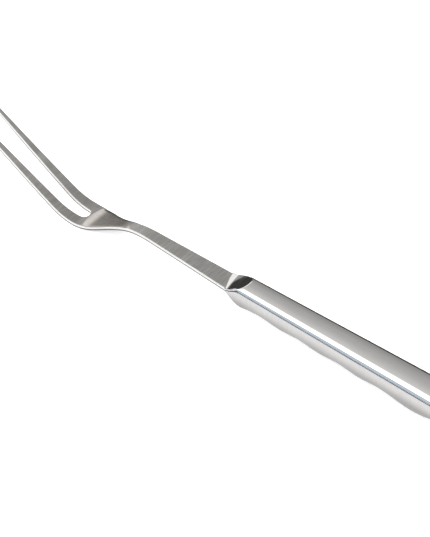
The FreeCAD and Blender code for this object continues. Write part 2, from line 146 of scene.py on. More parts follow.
class HandleSizes(bpy.types.PropertyGroup):
    """Sizes of the hollow handle, laid out from the neck."""

    length: length("Length", "Length behind the neck", 137.0)
    wall: length("Wall", "Thickness of the sheet", 0.9)
    front_half: length("Front Half Width", "Half of the width at the front", 5.95)
    rear_half: length("Rear Half Width", "Half of the width at the rear", 8.35)
    front_crown: length("Front Crown", "Crown above the seam at the front", 3.2)
    rear_crown: length("Rear Crown", "Crown above the seam at the rear", 4.4)
    crown_squareness: share("Crown Squareness", "Crown's squareness, 2 for an ellipse", 2.3, 2.0, 8.0)
    belly_squareness: share("Belly Squareness", "Belly's squareness", 3.2, 2.0, 8.0)
    nose_squareness: share("Nose Squareness", "Squareness where the strip goes in", 6.0, 2.0, 8.0)
    rest_depth: length("Rest Depth", "Seam to the table at the palm swell", 15.5)
    grip_depth: length("Grip Depth", "Mean depth at the first valley", 12.1)
    grip_taper: share("Grip Taper", "Growth of the mean depth per length", 0.0185)
    grip_wave: length("Grip Wave", "Half of the height between swell and valley", 0.55)
    grip_pitch: length("Grip Pitch", "Distance between finger valleys", 24.4)
    first_valley: length("First Valley", "Neck to the first finger valley", 21.0)
    valleys: count("Valleys", "Number of finger valleys", 4)
    palm_swell: length("Palm Swell", "Neck to the palm swell's lowest place", 113.0)
    side_rounding: length("Side Rounding", "Closing of the rear end, from above", 12.0)
    crown_rounding: length("Crown Rounding", "Closing of the crown at the rear", 9.0)
    nose_lap: length("Nose Lap", "Lap of the lower shell under the shank", 2.5)
    nose_length: length("Nose Length", "Length over which the nose fills out", 11.3)
    scoop_start: length("Scoop Start", "Scoop's start to the neck", 2.85)
    scoop_skew: share("Scoop Skew", "Skew of the scoop's front edge", 0.42)
    facet_length: length("Facet Length", "Flatter facet at the scoop's front", 2.45)
    facet_spread: share("Facet Spread", "Facet's growth from near to far", 0.3)
    facet_slope: turn("Facet Slope", "Slope at the facet's front", 11.5)
    facet_end_slope: turn("Facet End Slope", "Slope at the facet's rear", 16.0)
    facet_round: length("Facet Round", "Turn from the facet into the face", 0.3)
    scoop_slope: turn("Scoop Slope", "Slope where the scoop's face starts", 25.0)
    scoop_face: length("Scoop Face", "Radius of the scoop's hollow face", 150.0)
    scoop_tilt: share("Scoop Tilt", "Sideways fall of the scoop's face", 0.15)
    ridge_round: length("Ridge Round", "Softness of the scoop's ridge", 0.4)
    saddle_length: length("Saddle Length", "Neck to the welded saddle's rear", 3.2)
    lip_round: length("Lip Round", "Radius of the shells' lips at the seam", 0.5)
    lip_depth: length("Lip Depth", "Depth of the lips' roll into the seam", 0.42)
    upper_lip_round: length("Upper Lip Round", "Radius of the upper shell's lip", 0.22)
    seam_gap: length("Seam Gap", "Height of the open seam between the lips", 0.2)
    bead_depth: length("Bead Depth", "Weld bead below the surface", 0.42)
    wedge_height: length("Wedge Height", "Widest opening of the seam beside the scoop", 1.2)
    seam_start: length("Seam Start", "Neck to the seam's level run", 8.6)


class SteelFinish(bpy.types.PropertyGroup):
    """Colours and roughness of the steel, some of the colours painted shade."""

    satin: colour("Satin Steel", "Cross-brushed steel of shank and tines", (0.51, 0.50, 0.487))
    shoulder: colour("Shoulder Steel", "Lengthwise polished steel of the shoulder", (0.68, 0.645, 0.61))
    mirror: colour("Mirror Steel", "Polished steel of the handle", (0.76, 0.757, 0.75))
    # Weld Steel and Weld Grey are dark partly from the weld's heat tint and partly as painted shade of the
    # seam's groove.
    weld: colour("Weld Steel", "Weld metal in the seam, tinted by its heat", (0.075, 0.095, 0.15))
    weld_grey: colour("Weld Grey", "Weld metal where it has little tint", (0.13, 0.13, 0.15))
    ground: colour("Ground Steel", "The strip's ground sides", (0.6, 0.595, 0.59))
    # Painted shade: the colour that the strip's underside and the lower half of its sides darken to.
    ground_under_shade: colour("Ground Steel Below", "The lower half of the sides", (0.11, 0.108, 0.106))
    # Belly Steel, Deep Belly Steel and Under Belly Steel are painted shade: the belly below the seam darkens
    # with depth and on its underside, standing in for the shaded floor it mirrors.
    belly: colour("Belly Steel", "Duller steel just below the seam", (0.47, 0.461, 0.455))
    belly_deep_shade: colour("Deep Belly Steel", "The belly's lowest part", (0.22, 0.216, 0.213))
    belly_underside_shade: colour("Under Belly Steel", "The belly's underside", (0.12, 0.118, 0.117))
    satin_roughness: share("Satin Roughness", "Roughness of the brushed faces", 0.36)
    shoulder_roughness: share("Shoulder Roughness", "Roughness of the polished shoulder", 0.24)
    mirror_roughness: share("Mirror Roughness", "Roughness of the polished handle", 0.06)
    weld_roughness: share("Weld Roughness", "Roughness of the weld bead", 0.34)


class StudioSettings(bpy.types.PropertyGroup):
    """Camera, floor and light."""

    azimuth: turn("Azimuth", "Camera's bearing, from the row's front", 39.062)
    elevation: turn("Elevation", "Camera's height above level", 44.241)
    distance: length("Distance", "Camera to the neck", 1000.0)
    pan: turn("Pan", "Camera's turn to the left, away from the neck", 0.5169)
    tilt: turn("Tilt", "Camera's turn upwards, away from the neck", 0.2982)
    focal_length: share("Focal Length", "Lens, on a 36 mm sensor", 134.08, 10.0, 500.0)
    floor_colour: colour("Floor", "Colour of the floor", (0.9, 0.9, 0.9))
    floor_radius: length("Floor Radius", "Radius of the floor", 1500.0)
    floor_glow: share("Floor Glow", "Brightness of the floor's own light", 0.5)
    overhead: share("Overhead Light", "Brightness of the soft box overhead", 0.45, 0.0, 20.0)
    flag_grey: share("Flag Grey", "Brightness of the dark flags' lower parts", 0.05)
    flag_top: share("Flag Top", "Brightness of the dark flags' upper edges", 0.6)


# ---- shader graphs
class Signal:
    """A node's output. Python's operators on it add Math nodes."""

    def __init__(self, graph, socket):
        self.graph = graph
        self.socket = socket

    def math(self, operation, *others):
        return self.graph.add("Math", dict(enumerate((self, *others))), operation=operation)

    def __add__(self, other):
        return self.math("ADD", other)

    def __mul__(self, other):
        return self.math("MULTIPLY", other)

    __rmul__ = __mul__

    def __sub__(self, other):
        return self.math("SUBTRACT", other)

    def __rsub__(self, other):
        return (self * -1.0) + other

    def __pow__(self, other):
        return self.math("POWER", other)

    def __abs__(self):
        return self.math("ABSOLUTE")

    def ramp(self, low, high):
        """Smooth rise from 0 at low to 1 at high, or a fall where high is the smaller."""
        if low >= high:
            return 1.0 - self.ramp(high, low)
        sockets = {"Value": self, "From Min": low, "From Max": high}
        return self.graph.add("MapRange", sockets, interpolation_type="SMOOTHSTEP")

    def blend(self, low, high):
        """From low to high as this goes from 0 to 1."""
        return (high - low) * self + low


class Graph:
    """Node tree of one material or of the world."""

    def __init__(self, owner):
        self.owner = owner
        owner.use_nodes = True
        self.tree = owner.node_tree
        self.tree.nodes.clear()

    def add(self, kind, sockets=None, output=0, **settings):
        """New node with its sockets' values or links; returns one of its outputs."""
        node = self.tree.nodes.new("ShaderNode" + kind)
        for name, value in settings.items():
            setattr(node, name, value)
        for name, value in (sockets or {}).items():
            if isinstance(value, Signal):
                self.tree.links.new(value.socket, node.inputs[name])
            else:
                node.inputs[name].default_value = value
        return Signal(self, node.outputs[output]) if node.outputs else None

    def mix(self, factor, first, second):
        """Colour between two colours."""
        sockets = {0: factor, 6: opaque(first), 7: opaque(second)}
        return self.add("Mix", sockets, output=2, data_type="RGBA")

    def parts(self, vector):
        """The three numbers of a vector."""
        return [self.add("SeparateXYZ", {0: vector}, output=axis) for axis in range(3)]

    def facing(self):
        """The three numbers of the surface's normal."""
        return self.parts(self.add("NewGeometry", output="Normal"))

    def stretched(self, vector, scale):
        """Vector with each of its numbers scaled."""
        return self.add("VectorMath", {0: vector, 1: scale}, operation="MULTIPLY")

    def shaded(self, tint, tone):
        """Colour made darker or lighter by a number."""
        return self.add("VectorMath", {0: tint, "Scale": tone}, operation="SCALE")

    def cone(self, direction, towards, wide, narrow):
        """Rise from 0 to 1 as a direction comes from one angle off an aim to a smaller one, in degrees."""
        sockets = {0: direction, 1: Vector(towards).normalized()}
        near = self.add("VectorMath", sockets, output=1, operation="DOT_PRODUCT")
        return near.ramp(math.cos(math.radians(wide)), math.cos(math.radians(narrow)))

    def noise(self, vector, scale, detail, roughness):
        """Noise, its scale given for each axis."""
        sockets = {"Vector": self.stretched(vector, scale), "Scale": 1.0, "Detail": detail,
                   "Roughness": roughness}
        return self.add("TexNoise", sockets, noise_dimensions="3D")

    def bump(self, height, distance, under=None):
        """Normal of a relief, laid over another normal where one is given."""
        sockets = {"Height": height, "Distance": distance, "Strength": 1.0}
        if under:
            sockets["Normal"] = under
        return self.add("Bump", sockets)


def opaque(value):
    """Socket's colour from three numbers; a signal stays as it is."""
    return value if isinstance(value, Signal) else (*value, 1.0)


def new_graph(name):
    """Empty graph of a new material, and the place on the object."""
    graph = Graph(bpy.data.materials.new(name))
    return graph, graph.add("TexCoord", output="Object")


def finish_steel(graph, base, roughness, normal):
    """Material whose graph ends in a metal shader."""
    sockets = {"Base Color": base, "Metallic": 1.0, "Roughness": roughness, "Normal": normal}
    shader = graph.add("BsdfPrincipled", sockets)
    graph.add("OutputMaterial", {"Surface": shader})
    return graph.owner


def strip_material():
    """Cross-brushed faces, a lengthwise polished shoulder and bright ground sides, with painted shade on the
    lower sides, the underside and the tines just past the crease.
    """
    finish, sizes = bpy.context.scene.steel_finish, bpy.context.scene.fork_strip
    graph, place = new_graph("brushed_strip_steel")
    along, across, _ = graph.parts(place)
    behind = along - neck_x()
    _, sideways, upright = graph.facing()
    side = abs(sideways).ramp(0.45, 0.85)
    edge = abs(sideways).ramp(0.12, 0.45) * (1.0 - side)
    # Painted shade: under masks the underside and, through lower_side, the lower half of the sides.
    under = (upright * -1.0).ramp(0.02, 0.3)
    lower = graph.add("Attribute", output="Fac", attribute_name="lower_side")
    under = under.math("MAXIMUM", lower.ramp(0.5, 0.62) * side)
    crease = across * across * sizes.crease_bow - sizes.crease_distance
    front = behind + across * sizes.polish_skew + sizes.polish_start
    shoulder = (behind - crease).ramp(-0.1 * MM, 0.35 * MM) * front.ramp(0.25 * MM, -0.4 * MM)
    shoulder = shoulder * (1.0 - side)

    coarse = graph.noise(place, (950.0, 70.0, 90.0), 4.0, 0.6)
    fine = graph.noise(place, (5200.0, 260.0, 300.0), 3.0, 0.6)
    sockets = {"Vector": place, "Rotation": (0.0, 0.0, math.radians(24.0))}
    slanted = graph.add("Mapping", sockets, vector_type="POINT")
    cross_cuts = graph.noise(slanted, (2600.0, 120.0, 160.0), 2.0, 0.5)
    lengthwise = graph.noise(place, (110.0, 4200.0, 900.0), 3.0, 0.6)
    cloud = graph.noise(place, (95.0, 120.0, 120.0), 3.0, 0.5)
    # Painted shade on the tines just past the crease.
    past_crease = behind.ramp(0.004 - sizes.crease_distance, -sizes.crease_distance)
    shade = past_crease * behind.ramp(-sizes.crease_distance - 0.055, -sizes.crease_distance - 0.004)

    brushed = coarse * 0.45 + fine * 0.25 + cross_cuts * 0.3
    satin_tone = brushed.ramp(0.32, 0.68).blend(0.77, 1.17) * cloud.ramp(0.3, 0.7).blend(0.94, 1.05)
    satin_tone = satin_tone * shade.blend(1.0, 0.86)
    shoulder_tone = lengthwise.ramp(0.25, 0.75).blend(0.93, 1.05) * cloud.ramp(0.3, 0.7).blend(0.95, 1.04)
    satin, polished = graph.shaded(finish.satin, satin_tone), graph.shaded(finish.shoulder, shoulder_tone)
    base = graph.mix(shoulder, satin, polished)
    base = graph.mix(side, base, finish.ground)
    base = graph.mix(edge * 0.5, base, finish.mirror)
    # Painted shade on the underside and the lower sides.
    base = graph.mix(under, base, finish.ground_under_shade)

    roughness = shoulder.blend(finish.satin_roughness, finish.shoulder_roughness)
    roughness = roughness + (brushed - 0.5) * 0.16 * (1.0 - shoulder) + (cloud - 0.5) * 0.06
    roughness = roughness * (1.0 - side * 0.7) * (1.0 - edge * 0.25)
    grain = (1.0 - shoulder) * (1.0 - side)
    normal = graph.bump(brushed * grain, 0.035 * MM)
    normal = graph.bump(lengthwise * (shoulder * 0.8 + side * 0.6), 0.012 * MM, under=normal)
    return finish_steel(graph, base, roughness, normal)


def shell_material():
    """Mirror polish with fine buffing marks, and painted shade on the belly below the seam that darkens
    towards its underside.
    """
    finish = bpy.context.scene.steel_finish
    graph, place = new_graph("polished_shell_steel")
    height = graph.parts(place)[2] - seam_z()
    upright = graph.facing()[2]
    # Painted shade: masks for the belly's darkening on its underside and with depth below the seam.
    underside_shade = (upright * -1.0).ramp(0.15, 0.6)
    deeper_shade = (height * -1.0).ramp(1.8 * MM, 10.5 * MM)
    buffing = graph.noise(place, (2300.0, 420.0, 260.0), 4.0, 0.65)
    lengthwise = graph.noise(place, (60.0, 2400.0, 2400.0), 3.0, 0.6)
    haze = graph.noise(place, (70.0, 160.0, 160.0), 3.0, 0.5)
    scratches = graph.noise(place, (9.0, 900.0, 900.0), 2.0, 0.4).ramp(0.66, 0.72)
    below = height.ramp(-0.3 * MM, -0.8 * MM) * upright.ramp(0.4, 0.15)
    beside_seam = abs(height).ramp(1.4 * MM, 0.2 * MM)
    marks = buffing * 0.7 + lengthwise * 0.3
    tone = marks.ramp(0.3, 0.7).blend(below.blend(0.965, 0.92), below.blend(1.02, 1.05))
    tone = tone * haze.ramp(0.3, 0.7).blend(0.975, 1.01) * (1.0 - beside_seam * 0.05)
    # Painted shade on the belly, standing in for the shaded floor that it mirrors.
    painted_belly_shade = graph.mix(deeper_shade, finish.belly, finish.belly_deep_shade)
    painted_belly_shade = graph.mix(underside_shade, painted_belly_shade, finish.belly_underside_shade)
    base = graph.mix(below, graph.shaded(finish.mirror, tone), graph.shaded(painted_belly_shade, tone))
    roughness = (marks - 0.5) * 0.07 + finish.mirror_roughness + below * 0.075 + beside_seam * 0.05
    roughness = roughness + scratches * 0.05 + (haze - 0.5) * 0.03
    normal = graph.bump(marks * below.blend(0.35, 1.0) + scratches * 0.4, 0.006 * MM)
    return finish_steel(graph, base, roughness, normal)


def bead_material():
    """Weld metal with its ripples and heat tint, down in the seam; its dark colour is partly painted shade of
    the seam's groove.
    """
    finish = bpy.context.scene.steel_finish
    graph, place = new_graph("weld_bead_steel")
    tint = graph.noise(place, (260.0, 300.0, 300.0), 3.0, 0.5)
    ripples = graph.noise(place, (1300.0, 500.0, 500.0), 3.0, 0.6)
    tone = ripples.ramp(0.3, 0.7).blend(0.75, 1.2)
    # Partly painted shade: the weld colours are darkened for the shade in the seam's groove.
    base = graph.mix(tint.ramp(0.4, 0.75) * 0.6, graph.shaded(finish.weld, tone), finish.weld_grey)
    roughness = (ripples - 0.5) * 0.2 + finish.weld_roughness
    normal = graph.bump(ripples, 0.08 * MM)
    return finish_steel(graph, base, roughness, normal)


# ---- pieces
def neck_x():
    """Place of the neck along the row, from the rear end that the frame gives."""
    return REAR_X - bpy.context.scene.handle_shells.length


def seam_z():
    """Height of the seam above the table."""
    return bpy.context.scene.handle_shells.rest_depth


def at_rest(point):
    """Where a point laid out from the neck is in the row's frame."""
    return Vector((point[0] + neck_x(), point[1], point[2] + seam_z()))


def halved(is_before, low, high, steps):
    """Ends of a stretch, halved towards the place where a test turns false."""
    for _ in range(steps):
        middle = (low + high) / 2
        low, high = (middle, high) if is_before(middle) else (low, middle)
    return low, high


def pane(along, across, place):
    """Grid of faces whose corners are put by place(u, v), each from 0 to 1."""
    mesh = bmesh.new()
    bmesh.ops.create_grid(mesh, x_segments=along, y_segments=across, size=0.5)
    for vertex in mesh.verts:
        vertex.co = at_rest(place(vertex.co.x + 0.5, vertex.co.y + 0.5))
    bmesh.ops.remove_doubles(mesh, verts=mesh.verts, dist=MERGE)
    for edge in mesh.edges:
        edge.smooth = not edge.is_boundary
    return mesh


def new_object(name, mesh, material):
    """Object of a finished mesh, with its material."""
    data = bpy.data.meshes.new(name)
    mesh.to_mesh(data)
    mesh.free()
    data.materials.append(material)
    thing = bpy.data.objects.new(name, data)
    bpy.context.scene.collection.objects.link(thing)
    return thing


def new_piece(name, mesh, material, node, wall=0.0):
    """Piece that stands for a CAD node and rides on the only body, with its sheet's wall inwards."""
    for face in mesh.faces:
        face.smooth = True
    piece = new_object(name, mesh, material)
    if not piece.data.polygons:
        raise RuntimeError(f"{name} has no faces")
    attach(piece, "root")
    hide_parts(node)
    if wall:
        sheet = piece.modifiers.new("wall", "SOLIDIFY")
        sheet.thickness = wall
        sheet.offset = -1.0
    return piece


# ---- the strip
def arc_step(place, heading, bend, angle):
    """Centre-line point and heading after turning by an angle on a bend's radius."""
    sign = 1.0 if angle > 0 else -1.0
    new = heading + angle
    return (place[0] - sign * bend * (math.sin(new) - math.sin(heading)),
            place[1] + sign * bend * (math.cos(heading) - math.cos(new))), new


def centre_line(sizes):
    """Function from the length along the strip, measured from the neck, to its middle's place and heading."""
    shank = sizes.shank_length
    upper_turn = -sizes.shoulder_drop - sizes.shank_rise
    upper = shank + sizes.upper_bend * -upper_turn
    flat = upper + sizes.shoulder_length
    heel_turn = sizes.tine_rise + sizes.shoulder_drop
    heel = flat + sizes.heel_bend * heel_turn

    def straight(place, heading, distance):
        return place[0] - distance * math.cos(heading), place[1] + distance * math.sin(heading)

    neck = (0.0, -sizes.below_seam)
    bend_start = straight(neck, sizes.shank_rise, shank)
    flat_start, drop = arc_step(bend_start, sizes.shank_rise, sizes.upper_bend, upper_turn)
    heel_start = straight(flat_start, drop, sizes.shoulder_length)
    tine_start, rise = arc_step(heel_start, drop, sizes.heel_bend, heel_turn)

    def middle(distance):
        if distance <= shank:
            return straight(neck, sizes.shank_rise, distance), sizes.shank_rise
        if distance <= upper:
            turned = (shank - distance) / sizes.upper_bend
            return arc_step(bend_start, sizes.shank_rise, sizes.upper_bend, turned)
        if distance <= flat:
            return straight(flat_start, drop, distance - upper), drop
        if distance <= heel:
            return arc_step(heel_start, drop, sizes.heel_bend, max((distance - flat) / sizes.heel_bend, 1e-9))
        return arc_step(tine_start, rise, sizes.tine_sweep, max((distance - heel) / sizes.tine_sweep, 1e-9))

    return middle


def outer_edge(sizes):
    """Function from the level distance before the neck to half of the strip's width."""
    waist = Vector((-sizes.waist_distance, sizes.waist_half))
    outward = Vector((sizes.waist_half - sizes.neck_half, sizes.waist_distance)).normalized()
    waist_centre = waist + outward * sizes.waist_fillet
    along = Vector((math.cos(sizes.tine_taper), math.sin(sizes.tine_taper)))
    away = Vector((-along.y, along.x))
    tip = Vector((-sizes.tine_reach, sizes.tip_spread))
    first = tip - away * sizes.shoulder_round
    reach = sizes.waist_fillet + sizes.shoulder_round
    gap = first - waist_centre
    back = along.dot(gap)
    round_centre = first - along * (back + math.sqrt(back ** 2 - gap.dot(gap) + reach ** 2))
    middle = waist_centre + (round_centre - waist_centre) * (sizes.waist_fillet / reach)
    edge = round_centre + away * sizes.shoulder_round

    def half(x):
        if x >= waist.x:
            narrow = min(-x / sizes.waist_distance, 1.0)
            return sizes.neck_half + (sizes.waist_half - sizes.neck_half) * narrow
        if x >= middle.x:
            return waist_centre.y - math.sqrt(sizes.waist_fillet ** 2 - (x - waist_centre.x) ** 2)
        if x >= edge.x:
            return round_centre.y + math.sqrt(sizes.shoulder_round ** 2 - (x - round_centre.x) ** 2)
        return tip.y + (x - tip.x) * math.tan(sizes.tine_taper)

    return half


def slot_edge(sizes):
    """Function from the level distance to half of the slot's width."""
    centre = -sizes.slot_distance - sizes.slot_radius
    tip = Vector((-sizes.tine_reach - centre, sizes.tip_spread - sizes.tip_width))
    bearing = math.atan2(tip.y, tip.x) - math.acos(sizes.slot_radius / tip.length)
    touch = Vector((math.cos(bearing), math.sin(bearing))) * sizes.slot_radius
    slope = (tip.y - touch.y) / (tip.x - touch.x)

    def half(x):
        across = x - centre
        if across >= sizes.slot_radius:
            return 0.0
        if across >= touch.x:
            return math.sqrt(sizes.slot_radius ** 2 - across ** 2)
        return touch.y + (across - touch.x) * slope

    return half


def strip_rows(sizes):
    """Lengths along the strip of its rows: even, but crowded at the slot's closed end."""
    middle = centre_line(sizes)
    pitch = 0.01 / sizes.rows_per_cm

    def length_at(x):
        return halved(lambda along: middle(along)[0][0] > x, 0.0, 0.3, 50)[0]

    start = length_at(-sizes.polish_start)
    crease = length_at(-sizes.crease_distance)
    root = length_at(-sizes.slot_distance)
    wall = length_at(-sizes.slot_distance - sizes.slot_radius)
    tip = length_at(-sizes.tine_reach)
    rows = []
    for low, high in ((-sizes.hidden_length, start), (start, crease)):
        steps = round((high - low) / pitch)
        rows += [low + (high - low) * index / steps for index in range(steps)]
    rows += [crease + (root - crease) * index / 3 for index in range(3)]
    for index in range(ROOT_ROWS):
        rows.append(root + (wall - root) * (1 - math.cos(math.pi / 2 * index / ROOT_ROWS)))
    steps = round((tip - wall) / pitch)
    rows += [wall + (tip - wall) * index / steps for index in range(steps + 1)]
    return rows


def columns_across():
    """Shares across a tine, with a narrow column beside each edge."""
    middle = 1 - 2 * EDGE_COLUMN
    inner = [EDGE_COLUMN + middle * index / (TINE_COLUMNS - 2) for index in range(TINE_COLUMNS - 1)]
    return [0.0] + inner + [1.0]


def shape_strip(sizes):
    """The whole strip: half of its top face, mirrored, thickened and given soft arrises."""
    middle, outer, slot = centre_line(sizes), outer_edge(sizes), slot_edge(sizes)
    rows = strip_rows(sizes)
    columns = columns_across()
    half_thick = sizes.thickness / 2

    def place(u, v):
        (x, z), heading = middle(rows[round(u * (len(rows) - 1))])
        inner = slot(x)
        across = inner + (outer(x) - inner) * columns[round(v * (len(columns) - 1))]
        near_crease = math.exp(-((x + sizes.crease_distance) / CREASE_REACH) ** 2)
        bowed = x + sizes.crease_bow * (across ** 2 - inner ** 2) * near_crease
        across = inner + (outer(bowed) - inner) * columns[round(v * (len(columns) - 1))]
        shift = bowed - x
        height = z - shift * math.tan(heading) + half_thick * math.cos(heading)
        return bowed + half_thick * math.sin(heading), -across, height

    mesh = pane(len(rows) - 1, len(columns) - 1, place)
    half = mesh.verts[:] + mesh.edges[:] + mesh.faces[:]
    bmesh.ops.mirror(mesh, geom=half, matrix=Matrix.Identity(4), merge_dist=MERGE * 5, axis="Y")
    bmesh.ops.remove_doubles(mesh, verts=mesh.verts, dist=MERGE * 5)
    bmesh.ops.recalc_face_normals(mesh, faces=mesh.faces)
    if sum(face.normal.z for face in mesh.faces) < 0:
        bmesh.ops.reverse_faces(mesh, faces=mesh.faces)
    bmesh.ops.solidify(mesh, geom=mesh.faces[:], thickness=sizes.thickness)
    bmesh.ops.recalc_face_normals(mesh, faces=mesh.faces)
    samples = strip_samples(middle)
    for side, radius in ((-1, sizes.lower_arris), (1, sizes.arris)):
        sharp = [edge for edge in mesh.edges
                 if edge.is_manifold and edge.calc_face_angle() > math.radians(60)
                 and side * height_over(samples, (edge.verts[0].co + edge.verts[1].co) / 2) > half_thick / 2]
        bmesh.ops.bevel(mesh, geom=sharp, offset=radius, offset_type="OFFSET", segments=3, profile=0.5,
                        affect="EDGES", clamp_overlap=False, material=-1)
    return mesh


def strip_samples(middle):
    """Places along the strip's middle, close together."""
    return [middle(index * MM / 4)[0] for index in range(STRIP_SAMPLES)]


def height_over(samples, place):
    """Height of a place at rest over the strip's middle."""
    return place.z - seam_z() - level_at(samples, place.x - neck_x())


def work_strip(mesh, sizes):
    """Points on the tines, and the hollow and soft edges that polishing leaves in the shoulder."""
    middle, outer, slot = centre_line(sizes), outer_edge(sizes), slot_edge(sizes)
    samples = strip_samples(middle)
    base = Vector((neck_x(), 0.0, seam_z()))
    zone_middle = -(sizes.polish_start + sizes.crease_distance) / 2
    zone_half = (sizes.crease_distance - sizes.polish_start) / 2
    for vertex in mesh.verts:
        x, y, z = vertex.co - base
        level = level_at(samples, x)
        to_tip = x + sizes.tine_reach
        if to_tip < sizes.point_length:
            centre = (outer(x) + slot(x)) / 2
            left = max(to_tip, 0.0) / sizes.point_length
            thin = sizes.point_share + (1 - sizes.point_share) * left ** 0.8
            rounding = math.sqrt(1 - (1 - min(to_tip / (1.6 * MM), 1.0)) ** 2) if to_tip > 0 else 0.0
            z = level + (z - level) * thin * (0.3 + 0.7 * rounding)
            y = math.copysign(centre + (abs(y) - centre) * (0.25 + 0.75 * rounding), y)
        along = (x - sizes.crease_bow * y * y * (x < zone_middle) - zone_middle) / zone_half
        if abs(along) < 1 and z > level:
            edge_share = max(1 - (outer(x) - abs(y)) / (1.5 * MM), 0.0)
            fade = min((1 - abs(along)) * 6, 1.0)
            z -= sizes.dish_depth * (1 - along ** 2) + sizes.edge_drop * edge_share ** 2 * fade
        vertex.co = base + Vector((x, y, z))


def level_at(samples, x):
    """Height of the strip's middle at a level place, from samples of its centre line."""
    if x >= 0:
        return samples[0][1]
    high = bisect.bisect_left(samples, -x, 1, len(samples) - 1, key=lambda place: -place[0])
    low = high - 1
    span = samples[low][0] - samples[high][0]
    part = (samples[low][0] - x) / span if span else 0.0
    return samples[low][1] + (samples[high][1] - samples[low][1]) * part


# ---- the handle
def soft_min(first, second, softness):
    """Lower of two heights, with a rounded change between them."""
    overlap = max(softness - abs(first - second), 0.0) / softness
    return min(first, second) - overlap ** 2 * softness / 4


def even_rise(value):
    """Even rise from 0 to 1 with level ends."""
    return (1 - math.cos(math.pi * min(max(value, 0.0), 1.0))) / 2


